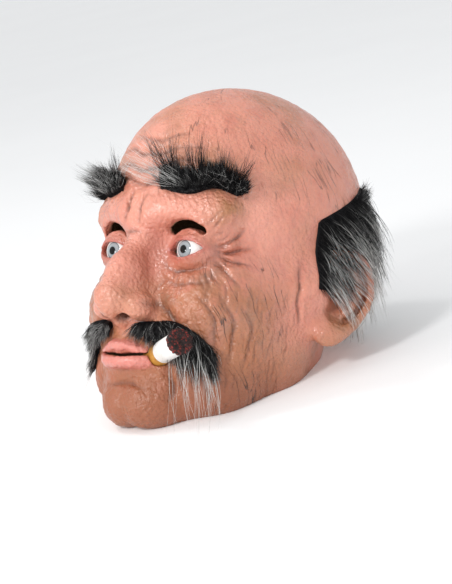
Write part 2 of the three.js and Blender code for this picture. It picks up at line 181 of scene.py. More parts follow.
def both_lips(p, m):
    x = m[:, 0]
    upper = lip(p, m, 67 + 2 * np.exp(-((x - 9) / 6.5) ** 2) - 0.0055 * x * x, 5.6, 1.25)
    return upper, lip(p, m, 55.5 + 0.002 * x * x, 7.0, 1.1)


def from_eye(m):
    return m[:, 0] - EYE[0], m[:, 2] - EYE[2]


def lid_opening(m):
    """Distance to the opening between the lids: two arcs through its corners."""
    across, rise = from_eye(m)
    rise = rise - 0.05 * across
    half, up, down = LID_OPENING
    radius_up = (half * half + up * up) / (2 * up)
    radius_down = (half * half + down * down) / (2 * down)
    above = np.hypot(across, rise - up + radius_up) - radius_up
    return np.maximum(above, np.hypot(across, rise + down - radius_down) - radius_down)


def lids(m, d):
    d = join(d, ellipsoid(m, EYE, (22, EYE_RADIUS + LID, EYE_RADIUS + LID)), 6)
    d = join(d, limb(m, (27, -104, 131), (55, -93, 134), 4.5, 4.5), 8)
    return join(d, limb(m, (52, -101, 172), (66, -84, 158), 5.5, 4), 10)


# The ear's own directions, and its field along them: across, out and up
EAR_UP = unit(np.array((-0.04, math.sin(EAR_LEAN), math.cos(EAR_LEAN))))
EAR_BACK = np.array((math.sin(EAR_FLARE), math.cos(EAR_FLARE), -0.1))
EAR_BACK = unit(EAR_BACK - EAR_UP * (EAR_BACK @ EAR_UP))
EAR_AXES = np.stack([EAR_BACK, np.cross(EAR_BACK, EAR_UP), EAR_UP], 1).astype(np.float32)


def in_ear(m):
    return (m - triple(*EAR_CENTRE)) @ EAR_AXES


def ear_edge(angle, share):
    """A point of the ear's outline at an angle from straight back, at a share of its size."""
    wide = EAR_WIDE if math.cos(angle) > 0 else EAR_WIDE * 0.72
    narrow = 1 - 0.3 * max(0.0, -math.sin(angle))
    across = share * wide * narrow * math.cos(angle)
    return across, 4 + 1.5 * math.sin(angle), share * EAR_TALL * math.sin(angle)


def chain(q, d, angles, share, radius, soft):
    points = [ear_edge(math.radians(a), share) for a in angles]
    for start, end in zip(points, points[1:]):
        d = join(d, limb(q, start, end, radius, radius), soft)
    return d


def ear_bowl(q):
    return ellipsoid(q, (-1, 8, -4), (13, 10, 21))


def ear_hollow(q):
    """1 along the hollow between the ear's rim and its inner ridge, 0 away from it."""
    share = np.hypot(q[:, 0] / EAR_WIDE, q[:, 2] / EAR_TALL)
    return np.exp(-((share - 0.76) / 0.13) ** 2) * ((q[:, 0] > -6) & (q[:, 1] > 1) & (share < 1.3))


def ear(m):
    """The ear, exact only within some room round it."""
    q = in_ear(m)
    room = 8
    d = (np.abs(q) - triple(EAR_WIDE + 10, 26, EAR_TALL + 14)).max(1) + room
    near = d < room
    q = q[near]
    if len(q) == 0:
        return d
    e = ellipsoid(q, (1, -1, 0), (EAR_WIDE, 5, EAR_TALL - 2))
    e = chain(q, e, range(170, -71, -12), 1.0, 4.4, 3.5)
    e = join(e, ellipsoid(q, (-4, 1, -36), (12, 6.5, 12)), 8)
    e = join(e, limb(q, (-17, -2, 22), (-13, -2, -34), 8, 7), 8)
    e = join(e, limb(q, (-6, -8, 14), (-6, -8, -18), 9, 8), 8)
    e = carve(e, ear_bowl(q), 5)
    e = -chain(q, -e, range(120, -49, -12), 0.79, 2.0, 5)
    e = chain(q, e, range(95, -61, -12), 0.58, 3.2, 4)
    d[near] = join(e, ellipsoid(q, (-14, 5, -10), (5.5, 6, 7)), 5)
    return d


# Age lines on a map of the face: s runs round the head in millimetres at a radius of 100, z is up
def on_map(p):
    s = np.arctan2(p[:, 0], NOSE_AXIS_Y - p[:, 1]) * 100
    z = p[:, 2]
    s_wavy = s + 1.5 * np.sin(0.11 * z + 1.3) + 0.8 * np.sin(0.27 * z + 0.06 * s)
    z_wavy = z + 1.3 * np.sin(0.085 * s + 0.5) + 0.7 * np.sin(0.23 * s + 0.1 * z)
    return s_wavy, z_wavy


def bent(start, pull, end, count):
    """Points of a curve from start to end that is drawn towards pull."""
    t = np.linspace(0, 1, count)[:, None]
    start, pull, end = (np.array(v, float) for v in (start, pull, end))
    return (1 - t) ** 2 * start + 2 * t * (1 - t) * pull + t * t * end


def near_line(s, z, line, reach):
    """Which map points lie near a line, how far from it, and a share that fades to 0 at both its ends."""
    low, high = line.min(0) - reach, line.max(0) + reach
    near = np.flatnonzero((s > low[0]) & (s < high[0]) & (z > low[1]) & (z < high[1]))
    here = np.stack([s[near], z[near]], 1)
    best = np.full(len(here), 1e3)
    along = np.zeros(len(here))
    steps = len(line) - 1
    for i in range(steps):
        run = line[i + 1] - line[i]
        t = np.clip((here - line[i]) @ run / (run @ run), 0, 1)
        distance = np.linalg.norm(here - line[i] - t[:, None] * run, axis=1)
        closer = distance < best
        best = np.where(closer, distance, best)
        along = np.where(closer, (i + t) / steps, along)
    return near, best, np.sin(np.pi * along) ** 0.7


# Start, pull and end of each crease, its depth, width and roll, first those on both sides of the face
SIDE_CREASES = (
    ((19, 106), (42, 96), (49, 66), 2.6, 5.0, 0.6),
    ((49, 68), (52, 50), (43, 32), 1.8, 4.0, 0.45),
    ((36, 57), (41, 42), (36, 22), 2.0, 4.0, 0.4),
    ((21, 140), (42, 121), (64, 139), 1.7, 3.2, 0.5),
    ((24, 128), (46, 110), (74, 128), 1.2, 3.6, 0.4),
    ((66, 152), (84, 158), (100, 172), 1.2, 2.4, 0.5),
    ((67, 149), (88, 150), (106, 156), 1.4, 2.6, 0.5),
    ((67, 146), (86, 142), (103, 138), 1.4, 2.6, 0.5),
    ((65, 142), (82, 132), (94, 121), 1.2, 2.4, 0.5),
    ((8, 170), (5, 184), (9, 200), 1.6, 3.0, 0.5),
    ((58, 112), (74, 96), (71, 66), 1.3, 3.2, 0.45),
    ((74, 116), (92, 92), (84, 56), 1.3, 3.2, 0.45),
    ((92, 110), (110, 84), (98, 50), 1.1, 3.0, 0.4),
    ((64, 44), (72, 34), (66, 20), 1.2, 3.0, 0.4),
    ((154, 150), (150, 120), (158, 92), 1.6, 3.4, 0.4),
)
MIDDLE_CREASES = (
    ((-72, 206), (0, 214), (70, 207), 1.5, 3.4, 0.5),
    ((-64, 219), (4, 225), (66, 220), 1.6, 3.6, 0.5),
    ((-58, 233), (-4, 238), (56, 232), 1.4, 3.4, 0.5),
    ((-36, 246), (0, 251), (44, 246), 1.0, 3.0, 0.45),
    ((-10, 163), (0, 166), (10, 163), 1.3, 2.6, 0.4),
    ((-20, 34), (0, 42), (20, 34), 1.2, 3.4, 0.3),
)
FOREHEAD_FROM = 180
EYE_ON_MAP = (47.0, 150.0)


def fine_lines():
    """Short thin lines: upright ones over the cheeks and jaw, and a spray round each eye's outer side."""
    rng = np.random.default_rng(7)
    lines = []
    for _ in range(45):
        s, z = rng.uniform(52, 150), rng.uniform(28, 128)
        length, lean = rng.uniform(10, 26), rng.uniform(-7, 7)
        pull, end = (s + lean, z - length / 2), (s + lean / 2, z - length)
        lines.append(((s, z), pull, end, 0.6, 1.6, 0.2))
    for angle in np.radians(np.arange(-118, 62, 9.0)):
        way = np.array((math.cos(angle), math.sin(angle)))
        start = np.array(EYE_ON_MAP) + way * np.array((29, 22)) * rng.uniform(0.95, 1.15)
        end = start + way * rng.uniform(8, 17) + rng.normal(0, 1.5, 2)
        lines.append((start, (start + end) / 2 + rng.normal(0, 1.5, 2), end, 0.7, 1.5, 0.3))
    return lines


FINE_LINES = fine_lines()


def creases(p):
    """Every crease with the map places of the points on it."""
    s, z = on_map(p)
    one_side, apart = np.abs(s), np.abs(s) + 3 * np.sign(s)
    brow_z = z + 5 * np.cos(one_side / 17) * np.exp(-(s / 60) ** 2)
    for start, pull, end, *size in SIDE_CREASES:
        yield one_side, z, bent(start, pull, end, 7), *size
    for start, pull, end, *size in MIDDLE_CREASES:
        yield s, (brow_z if start[1] > FOREHEAD_FROM else z), bent(start, pull, end, 7), *size
    for start, pull, end, *size in FINE_LINES:
        yield apart, z, bent(start, pull, end, 4), *size


def before_ears(p):
    return ramp(p[:, 1], 30, 10)


def wrinkles(p):
    """Depth of the creases, with a soft roll on either side of each."""
    depth = np.zeros(len(p), np.float32)
    for s, z, line, deep, width, roll in creases(p):
        near, best, fade = near_line(s, z, line, 4 * width)
        groove = np.exp(-2.2 * (best / width) ** 2)
        rolls = roll * np.exp(-((best - 1.7 * width) / (0.9 * width)) ** 2)
        depth[near] += fade * deep * (groove - rolls)
    return depth * before_ears(p)


def wash_and_shade(p):
    """How much dark wash has run into the creases; the painted shade of the nostrils and the ear's bowl joins
    it in skin_values.
    """
    dark = np.zeros(len(p), np.float32)
    for s, z, line, deep, width, _ in creases(p):
        near, best, fade = near_line(s, z, line, 2 * width)
        darkening = fade * min(1, 0.15 + deep / 2.3) * fading(best, 0.4 * width + 0.2)
        dark[near] = np.maximum(dark[near], darkening)
    return dark * before_ears(p)


def ripple(p, wavelength, seed, count=20):
    """Smooth random bumps of about that wavelength, near 0 on average and 1 in spread."""
    rng = np.random.default_rng(seed)
    ways = rng.normal(size=(count, 3))
    ways *= (2 * np.pi / wavelength * rng.uniform(0.7, 1.3, count) / np.linalg.norm(ways, axis=1))[:, None]
    phase = rng.uniform(0, 2 * np.pi, count)
    return np.sin(p @ ways.T.astype(np.float32) + phase.astype(np.float32)).sum(1) * math.sqrt(2 / count)


def above_rim(p):
    return (p - RIM_POINT) @ UP


def with_nose_and_lips(p, m, d):
    d = join(d, nose(p, m), 9)
    for roll in both_lips(p, m):
        d = join(d, roll, 5)
    return d


def earless_head(p):
    m = folded(p)
    return lids(m, with_nose_and_lips(p, m, bare_head(p)))


def plain_head(p):
    """The head with its ears, without openings and age lines."""
    return join(earless_head(p), ear(folded(p)), 6)


def mask(p):
    """The whole skin, hollow and open at the neck."""
    m = folded(p)
    base = bare_head(p)
    d = with_nose_and_lips(p, m, base)
    d = carve(d, ellipsoid(p, (0, -146, 38), (26, 9, 7)), 10)
    d = join(lids(m, d), ear(m), 6)
    d = open_face(p, m, d + wrinkles(p))
    hollow = np.minimum(base + WALL, limb(p, (0, -96, 128), (0, -141, 112), 9, 9.5))
    d = np.maximum(d, -hollow)
    return np.maximum(d, -above_rim(p).astype(np.float32))


def open_face(p, m, d):
    """Cuts the lids' opening, the eye's seat, the peep slot, the nostrils, the mouth and the stub's hole."""
    d = carve(d, np.maximum(lid_opening(m), p[:, 1] - EYE[1]), 1.6)
    d = np.maximum(d, EYE_RADIUS + EYE_GAP - np.linalg.norm(m - triple(*EYE), axis=1))
    d = carve(d, np.maximum(peep_slot(m), p[:, 1] - PEEP_BACK_Y), 2)
    d = carve(d, limb(m, *NOSTRIL), 3)
    d = carve(d, mouth_slot(p, m), 1.5)
    stub_end = STUB_TO + (STUB_TO - STUB_FROM) * 0.4
    return carve(d, limb(p, STUB_FROM, stub_end, STUB_RADIUS + STUB_GAP, STUB_RADIUS + STUB_GAP), 2.5)


def peep_slot(m):
    """An arc over the eye."""
    across, rise = from_eye(m)
    angle = np.clip(np.arctan2(across, rise), -PEEP_SWEEP, PEEP_SWEEP)
    return np.hypot(across - PEEP_RADIUS * np.sin(angle), rise - PEEP_RADIUS * np.cos(angle)) - PEEP_HALF


def mouth_slot(p, m):
    x = m[:, 0]
    line = 61 + 0.0016 * x * x - 1.2 * np.exp(-((x / 5) ** 2))
    slot = np.abs(p[:, 2] - line) - 1.3 * np.sqrt(np.clip(1 - (x / MOUTH_HALF) ** 2, 0, 1))
    return np.maximum(np.maximum(slot, x - MOUTH_HALF), p[:, 1] - MOUTH_BACK_Y)


# Mesh of a field's zero level: one point in each small cell that it crosses
CORNERS = np.array([(i, j, k) for i in (0, 1) for j in (0, 1) for k in (0, 1)], np.int64)


def field_at(field, points, chunk=400000):
    parts = [field(points[i:i + chunk].astype(np.float32)) for i in range(0, len(points), chunk)]
    return np.concatenate(parts)


def crossed_cells(field, low, high, step, halvings):
    """Cells of the given step near the zero level, found by halving coarse ones."""
    size = step * 2 ** halvings
    count = np.ceil((high - low) / size).astype(int)
    cells = np.stack(np.meshgrid(*[np.arange(n) for n in count], indexing="ij"), -1).reshape(-1, 3)
    for level in range(halvings + 1):
        d = field_at(field, low + (cells + 0.5) * size)
        cells = cells[np.abs(d) < size * 1.35]
        if level < halvings:
            cells = (cells[:, None] * 2 + CORNERS).reshape(-1, 3)
            size /= 2
    return cells


def surface(field, low, high, step, halvings=3):
    low, high = np.array(low, float), np.array(high, float)
    cells = crossed_cells(field, low, high, step, halvings)
    span = int(cells.max()) + 3

    def key(c):
        return (c[..., 0] * span + c[..., 1]) * span + c[..., 2]

    corner_keys, inverse = np.unique(key(cells[:, None] + CORNERS), return_inverse=True)
    corner = np.stack([corner_keys // (span * span), corner_keys // span % span, corner_keys % span], 1)
    value = field_at(field, low + corner * step)[inverse.reshape(-1, 8)]
    mixed = (value.min(1) < 0) & (value.max(1) >= 0)
    cells, value = cells[mixed], value[mixed]
    order = np.argsort(key(cells))
    cells, value = cells[order], value[order]
    points = low + (cells + middle_of_crossings(value)) * step
    quads = [quads_across(axis, cells, value, key) for axis in range(3)]
    for _ in range(2):
        points = settle(field, points, 0.15 * step, step * 0.6)
    return points, np.concatenate(quads)


def middle_of_crossings(value):
    """In each cell, the middle of the places where its edges cross the surface."""
    total, count = np.zeros((len(value), 3)), np.zeros(len(value))
    for a in range(8):
        for b in range(a + 1, 8):
            if np.abs(CORNERS[a] - CORNERS[b]).sum() != 1:
                continue
            cross = (value[:, a] < 0) != (value[:, b] < 0)
            t = value[:, a] / np.where(cross, value[:, a] - value[:, b], 1)
            point = CORNERS[a] + (CORNERS[b] - CORNERS[a]) * t[:, None]
            total += np.where(cross[:, None], point, 0)
            count += cross
    return total / count[:, None]


def quads_across(axis, cells, value, key):
    """Quads round the cell edges along one axis whose ends lie on different sides of the surface."""
    keys = key(cells)
    along, step_b, step_c = np.roll(np.eye(3, dtype=int), -axis, 0)
    last = int(along @ (4, 2, 1))
    cross = (value[:, 0] < 0) != (value[:, last] < 0)
    here = cells[cross]
    ring = [here, here - step_b, here - step_b - step_c, here - step_c]
    ids = np.minimum(np.stack([np.searchsorted(keys, key(r)) for r in ring], 1), len(keys) - 1)
    found = np.all(np.stack([keys[ids[:, i]] == key(ring[i]) for i in range(4)], 1), 1)
    ids, flip = ids[found], (value[cross, 0] < 0)[found]
    return np.where(flip[:, None], ids, ids[:, ::-1])


def slope_of(field, points, d, e):
    slope = np.zeros_like(points)
    for axis in range(3):
        moved = points.copy()
        moved[:, axis] += e
        slope[:, axis] = (field_at(field, moved) - d) / e
    return slope


def settle(field, points, e, most):
    """Moves points along the field's slope to its zero level."""
    d = field_at(field, points).astype(float)
    slope = slope_of(field, points, d, e)
    move = -slope * (d / np.maximum((slope * slope).sum(1), 0.2))[:, None]
    far = np.linalg.norm(move, axis=1)
    return points + move * np.minimum(1, most / np.maximum(far, 1e-9))[:, None]


# From the upright head in millimetres to the shared frame in metres, held to the ember's packed place
TIP = Matrix.Rotation(-TILT, 3, "X")
stub_length = float(np.linalg.norm(STUB_TO - STUB_FROM))
stub_axis = (STUB_TO - STUB_FROM) / stub_length
ember_low, ember_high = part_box("cigarette_ember")
ember_middle = STUB_FROM + stub_axis * (stub_length - EMBER_LENGTH / 2)
SHIFT = (ember_low + ember_high) / 2 - TIP @ Vector(ember_middle * MM)


def place(points):
    return (points * MM) @ np.array(TIP).T + np.array(SHIFT)


def build_mesh(name, points, faces):
    """An object from points of the upright head and faces, with -1 for a triangle's fourth corner."""
    mesh = bpy.data.meshes.new(name)
    mesh.from_pydata(place(points), [], [f if f[3] >= 0 else f[:3] for f in faces.tolist()])
    mesh.polygons.foreach_set("use_smooth", np.ones(len(faces), bool))
    mesh.validate()
    return added(name, mesh)


def added(name, data):
    thing = bpy.data.objects.new(name, data)
    bpy.context.scene.collection.objects.link(thing)
    return thing


def upright_points(thing):
    """An object's points on the upright head, in millimetres."""
    co = np.zeros(len(thing.data.vertices) * 3, np.float32)
    thing.data.vertices.foreach_get("co", co)
    return ((co.reshape(-1, 3) - np.array(SHIFT)) @ np.array(TIP)) / MM


def store(thing, name, values):
    attribute = thing.data.attributes.new(name, "FLOAT", "POINT")
    attribute.data.foreach_set("value", np.asarray(values, np.float32))


def fewer_triangles(thing, most, kept):
    """Thins a mesh to a number of triangles, outside the points that are kept."""
    triangles = sum(len(p.vertices) - 2 for p in thing.data.polygons)
    if triangles <= most:
        return
    group = thing.vertex_groups.new(name="thinned")
    group.add([int(i) for i in np.flatnonzero(~kept)], 1.0, "REPLACE")
    thinner = thing.modifiers.new("fewer", "DECIMATE")
    thinner.ratio = most / triangles
    thinner.vertex_group = group.name
    thinner.vertex_group_factor = 1.0
    seen = thing.evaluated_get(bpy.context.evaluated_depsgraph_get())
    thinned = bpy.data.meshes.new_from_object(seen)
    thing.modifiers.clear()
    thing.vertex_groups.clear()
    thing.data = thinned


def finished(thing, node, material):
    thing.data.materials.clear()
    thing.data.materials.append(material)
    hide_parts(node)
    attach(thing, "root")


# Materials
class Paint:
    """A material's nodes with short calls; a text in place of a number names a value stored at the points."""

    def __init__(self, name):
        self.material = bpy.data.materials.new(name)
        self.material.use_nodes = True
        self.nodes = self.material.node_tree.nodes
        self.where = self.nodes.new("ShaderNodeTexCoord").outputs["Object"]

    def make(self, kind, output, settings=(), **sockets):
        """A new node's output."""
        node = self.nodes.new("ShaderNode" + kind)
        for key, value in dict(settings).items():
            setattr(node, key, value)
        self.fill(node, sockets)
        return node.outputs[output]

    def fill(self, node, sockets):
        for key, value in sockets.items():
            self.set(node.inputs[key.replace("_", " ")], value)

    def set(self, socket, value):
        if isinstance(value, str):
            value = self.make("Attribute", "Fac", {"attribute_name": value})
        if isinstance(value, bpy.types.NodeSocket):
            self.material.node_tree.links.new(value, socket)
        else:
            socket.default_value = value

    def noise(self, scale, detail=3.0, roughness=0.55):
        details = dict(Scale=scale, Detail=detail, Roughness=roughness)
        return self.make("TexNoise", "Fac", Vector=self.where, **details)

    def streaks(self, across, along, scale_across, scale_along):
        """Noise on a sheet whose two directions are values stored at the points."""
        x, y = self.times(across, scale_across), self.times(along, scale_along)
        where = self.make("CombineXYZ", 0, X=x, Y=y)
        flat = {"noise_dimensions": "2D"}
        return self.make("TexNoise", "Fac", flat, Vector=where, Scale=1.0, Detail=2.0, Roughness=0.5)

    def cells(self, scale, feature="F1"):
        return self.make("TexVoronoi", "Distance", {"feature": feature}, Vector=self.where, Scale=scale)

    def combine(self, operation, a, b, clamp=False):
        node = self.nodes.new("ShaderNodeMath")
        node.operation, node.use_clamp = operation, clamp
        self.set(node.inputs[0], a)
        self.set(node.inputs[1], b)
        return node.outputs[0]

    def times(self, a, b, clamp=False):
        return self.combine("MULTIPLY", a, b, clamp)

    def band(self, value, low, high, to_low=0.0, to_high=1.0):
        """A smooth step from to_low, where the value is low, to to_high, where it is high."""
        ends = dict(From_Min=low, From_Max=high, To_Min=to_low, To_Max=to_high)
        return self.make("MapRange", "Result", {"interpolation_type": "SMOOTHSTEP"}, Value=value, **ends)

    def blotches(self, scale, detail, low, high, to_low=0.0, to_high=1.0):
        return self.band(self.noise(scale, detail), low, high, to_low, to_high)

    def mix(self, share, a, b):
        node = self.nodes.new("ShaderNodeMix")
        node.data_type = "RGBA"
        for socket, value in ((0, share), (6, a), (7, b)):
            self.set(node.inputs[socket], value)
        return node.outputs[2]

    def coated(self, color, *coats):
        """A colour with coats over it, each a share and a colour."""
        for share, coat in coats:
            color = self.mix(share, color, coat)
        return color

    def bump(self, height, distance, strength):
        return self.make("Bump", "Normal", Height=height, Distance=distance, Strength=strength)

    def finish(self, **sockets):
        self.fill(self.nodes["Principled BSDF"], sockets)
        return self.material


def rgb(red, green, blue):
    return (red, green, blue, 1.0)


def latex_paint():
    """Pink-tan latex, more orange low down and darker to the chin with painted shade, a painted light patch
    on each temple, dark wash in the creases with painted shade in the nostrils and the ear's bowl, a plain
    latex inside painted darker as shade, cracks and a pebbled shine.
    """
    paint = Paint("latex")
    warm = paint.combine("ADD", "warm", paint.blotches(22, 4, 0.35, 0.7, -0.3, 0.3), True)
    off_centre = paint.combine("SUBTRACT", paint.streaks("around", "up", 0.075, 0.009), 0.5)
    crack = paint.times(paint.band(paint.combine("ABSOLUTE", off_centre, 0), 0.012, 0.003), "cracked")
    crack = paint.times(crack, paint.blotches(32, 2, 0.46, 0.56))
    # Dark wash in the creases and painted shade in the nostrils and the ear's bowl, unevenly strong
    darkening = paint.times("wash_and_shade", paint.blotches(140, 4, 0.3, 0.6, 0.65, 1.3), True)
    speckle = paint.times(paint.band(paint.cells(420), 0.16, 0.07), paint.blotches(35, 3, 0.5, 0.65))
    color = paint.coated(
        paint.mix(warm, rgb(0.69, 0.275, 0.192), rgb(0.42, 0.153, 0.072)),
        (paint.blotches(60, 4, 0.45, 0.7, 0, 0.5), rgb(0.57, 0.175, 0.12)),
        (paint.blotches(15, 3, 0.48, 0.7, 0, 0.45), rgb(0.44, 0.19, 0.08)),
        # Painted light: a lighter pink patch on each temple
        (paint.times("painted_temple_light", 0.5), rgb(0.80, 0.36, 0.27)),
        (paint.times("ochre", paint.blotches(45, 4, 0.35, 0.6, 0.3, 1.0)), rgb(0.40, 0.165, 0.065)),
        (paint.times("olive", paint.blotches(70, 4, 0.35, 0.65, 0.1, 0.7)), rgb(0.25, 0.13, 0.07)),
        (paint.times(paint.blotches(32, 4, 0.52, 0.72, 0, 0.5), warm), rgb(0.22, 0.12, 0.075)),
        # Darker towards the chin and jaw: partly the lower face's deeper tan, partly painted shade
        (paint.band("up", 80, 25, 0, 0.8), rgb(0.28, 0.088, 0.038)),
        (paint.times("red", 0.8), rgb(0.40, 0.09, 0.065)),
        (paint.times("lips", 0.9), rgb(0.64, 0.215, 0.175)),
        (paint.times(speckle, 0.5), rgb(0.20, 0.08, 0.045)),
        (paint.blotches(520, 2, 0.32, 0.45, 0.1, 0), rgb(0.27, 0.10, 0.055)),
        # Dark wash in the creases with painted shade in the nostrils and the ear's bowl
        (paint.times(darkening, 0.85), rgb(0.13, 0.045, 0.025)),
        (paint.times(crack, 0.92), rgb(0.06, 0.025, 0.016)),
        # The inside: plain latex, painted darker as shade so the openings look dark within
        ("inside", rgb(0.38, 0.27, 0.16)),
    )
    shine = paint.combine("ADD", paint.blotches(90, 3, 0.35, 0.7, 0.34, 0.52), paint.times("inside", 0.25))
    gloss = paint.blotches(30, 3, 0.4, 0.62, 0.35, 1.0)
    gloss = paint.times(gloss, paint.band("up", 45, 90, 0.2, 1))
    gloss = paint.times(gloss, paint.band("up", 195, 250, 1, 0.4))
    gloss = paint.times(gloss, paint.combine("SUBTRACT", 1.0, "inside"))
    pebble = paint.combine("SUBTRACT", paint.noise(290, 3), paint.times(paint.cells(330), 0.45))
    pebble = paint.times(pebble, paint.blotches(13, 2, 0.38, 0.6, 0.45, 1.05))
    normal = paint.bump(paint.combine("SUBTRACT", pebble, crack), 0.0017, 0.85)
    return paint.finish(
        Base_Color=color, Roughness=shine, Normal=normal, Subsurface_Weight=0.08, Subsurface_Scale=0.003,
        Coat_Weight=gloss, Coat_Roughness=0.17, Coat_Normal=normal)


def fur_paint():
    paint = Paint("fur")
    grey = paint.mix(paint.noise(160, 2), rgb(0.72, 0.71, 0.68), rgb(0.98, 0.975, 0.95))
    black = paint.mix(paint.noise(240, 2), rgb(0.004, 0.004, 0.005), rgb(0.014, 0.013, 0.014))
    return paint.finish(
        Base_Color=paint.mix("pale", black, grey), Roughness=paint.blotches(300, 2, 0.3, 0.7, 0.5, 0.7),
        Normal=paint.bump(paint.noise(900, 2), 0.0003, 0.4), Specular_IOR_Level=0.12)


def eye_paint():
    """White ball with a painted iris and pupil; ring is the distance from the gaze's axis in millimetres."""
    paint = Paint("eye")
    rays = paint.make("TexNoise", "Fac", {"noise_dimensions": "1D"}, W="turn", Scale=9.0, Detail=3.0)
    iris = paint.coated(
        paint.mix(rays, rgb(0.22, 0.245, 0.26), rgb(0.42, 0.45, 0.465)),
        (paint.band("ring", PUPIL + 0.2, PUPIL + 1.6, 0.25, 0), rgb(0.05, 0.07, 0.09)),
        (paint.band("ring", IRIS - 1.0, IRIS - 0.2, 0, 0.7), rgb(0.035, 0.05, 0.065)))
    iris = paint.mix(paint.band("ring", PUPIL - 0.2, PUPIL + 0.25), rgb(0.001, 0.001, 0.001), iris)
    white = paint.coated(
        rgb(0.86, 0.85, 0.82),
        (paint.band(paint.noise(260, 5, 0.7), 0.62, 0.75, 0, 0.12), rgb(0.62, 0.30, 0.25)),
        (paint.band("ring", 11.0, EYE_RADIUS, 0, 0.35), rgb(0.66, 0.52, 0.44)))
    return paint.finish(
        Base_Color=paint.mix(paint.band("ring", IRIS - 0.15, IRIS + 0.35), iris, white),
        Roughness=paint.blotches(120, 2, 0.3, 0.7, 0.05, 0.12),
        Specular_IOR_Level=0.05, Coat_Weight=0.6, Coat_Roughness=0.03)


def stub_paint(name, light, dark, rough, scale, depth):
    paint = Paint(name)
    return paint.finish(
        Base_Color=paint.mix(paint.blotches(scale, 4, 0.35, 0.7), light, dark),
        Roughness=paint.blotches(scale * 2, 3, 0.3, 0.7, rough - 0.1, rough + 0.1),
        Normal=paint.bump(paint.noise(scale * 4, 3), depth, 0.5))


def ember_paint():
    """Dark red lumps with black cracks between them."""
    paint = Paint("ember")
    edges = paint.cells(460, "DISTANCE_TO_EDGE")
    lumps = paint.mix(paint.band(edges, 0.03, 0.16), rgb(0.006, 0.004, 0.004), rgb(0.30, 0.026, 0.017))
    ash = paint.band(paint.noise(260, 4, 0.7), 0.42, 0.54, 0, 0.95)
    height = paint.combine("ADD", paint.noise(400, 3), paint.band(edges, 0, 0.2))
    return paint.finish(
        Base_Color=paint.mix(ash, lumps, rgb(0.012, 0.006, 0.005)),
        Roughness=paint.blotches(200, 2, 0.3, 0.7, 0.5, 0.85), Normal=paint.bump(height, 0.0012, 0.9))


# Skin
def skin_mesh():
    """The mask's surface, thinned behind the face, on its top and on the inside."""
    points, quads = surface(mask, SKIN_LOW, SKIN_HIGH, SKIN_STEP)
    thing = build_mesh("latex_skin", points, quads)
    outer = field_at(bare_head, points) > -WALL * 0.6
    turn = np.abs(np.arctan2(points[:, 0], NOSE_AXIS_Y - points[:, 1]))
    kept = outer & (points[:, 1] < FACE_SIDE) & (points[:, 2] < FOREHEAD_TOP) & (turn < FACE_TURN)
    fewer_triangles(thing, SKIN_TRIANGLES, kept)
    return thing


def patch(s, z, at_s, at_z, wide, tall):
    """A soft spot on the map, the same on both sides of the face."""
    return np.exp(-((np.abs(s) - at_s) / wide) ** 2 - ((z - at_z) / tall) ** 2)


def redness(p, m, s, z):
    """Red round the lids, less of it in the sockets and beside the nose's root."""
    opening = lid_opening(m)
    near_eye = (p[:, 1] < EYE[1]) & (np.abs(p[:, 2] - EYE[2]) < 26) & (np.abs(m[:, 0] - EYE[0]) < 30)
    socket = 0.5 * fading(opening, 20) * (p[:, 1] < -60)
    red = np.maximum(fading(opening, 4.5) * near_eye, socket)
    return np.maximum(red, 0.5 * patch(s, z, 17, 150, 12, 28))


def skin_values(p):
    """What the paint needs to know at each point of the skin."""
    m = folded(p)
    s, z = on_map(p)
    q = in_ear(m)
    in_nose = np.linalg.norm(p - triple(0, -138, 100), axis=1) < 28
    inside = np.clip(-field_at(bare_head, p) - WALL * 0.55, 0, 1) * ~in_nose
    outer = inside < 0.5
    upper, lower = both_lips(p, m)
    lips = np.clip(1.1 - np.minimum(np.abs(upper), np.abs(lower)) / 2.2, 0, 1)
    low_face = ramp(p[:, 2], 160, 110) * ramp(p[:, 1], -20, -65)
    ears = 0.85 * ear_hollow(q) + 0.4 * fading(ear(m), 4)
    cheeks = ramp(np.abs(s), 50, 70) * ramp(np.abs(s), 150, 130) * ramp(z, 150, 130)
    by_brow = patch(s, z, 56, 220, 30, 15) + patch(s, z, 80, 188, 13, 26)
    # Painted shade: dark in and round the nostrils and thinly along the ear's bowl, stored with the creases'
    # wash
    hollow_shade = np.maximum(0.9 * fading(limb(m, *NOSTRIL), 1.6), 0.08 * fading(np.abs(ear_bowl(q)), 3))
    return dict(
        inside=inside,
        lips=lips * (p[:, 1] < -108) * (m[:, 0] < LIP_HALF + 1),
        red=redness(p, m, s, z),
        warm=np.clip(0.05 + 0.9 * low_face + ears - 0.8 * fading(nose(p, m), 6), 0, 1),
        ochre=np.clip(by_brow, 0, 1) * outer,
        olive=patch(s, z, 64, 133, 13, 17) * outer,
        # Painted light: a lighter patch over each temple
        painted_temple_light=patch(s, z, 108, 185, 22, 32) * outer,
        cracked=(cheeks + 0.5 * ramp(z, 185, 200)) * outer,
        # Dark wash in the creases, with the painted shade of the hollows
        wash_and_shade=np.maximum(wash_and_shade(p), hollow_shade) * outer,
        around=s + 0.4 * z,
        up=z,
    )


def skin():
    """The latex with fine bumps, and with its paint's values stored at its points."""
    thing = skin_mesh()
    p = upright_points(thing).astype(np.float32)
    values = skin_values(p)
    bumps = 0.14 * ripple(p, 9, 11) + 0.16 * ripple(p, 4.5, 12)
    bumps = bumps * (values["inside"] < 0.5) * ramp(above_rim(p), 0, 3)
    out = slope_of(mask, p.astype(float), field_at(mask, p), 0.3).clip(-1, 1)
    placed = place(p + out * bumps[:, None]).astype(np.float32)
    placed[:, 2] = placed[:, 2].clip(0)
    thing.data.vertices.foreach_set("co", placed.ravel())
    thing.data.update()
    for name, value in values.items():
        store(thing, name, value)
    finished(thing, "mask_shell", latex_paint())


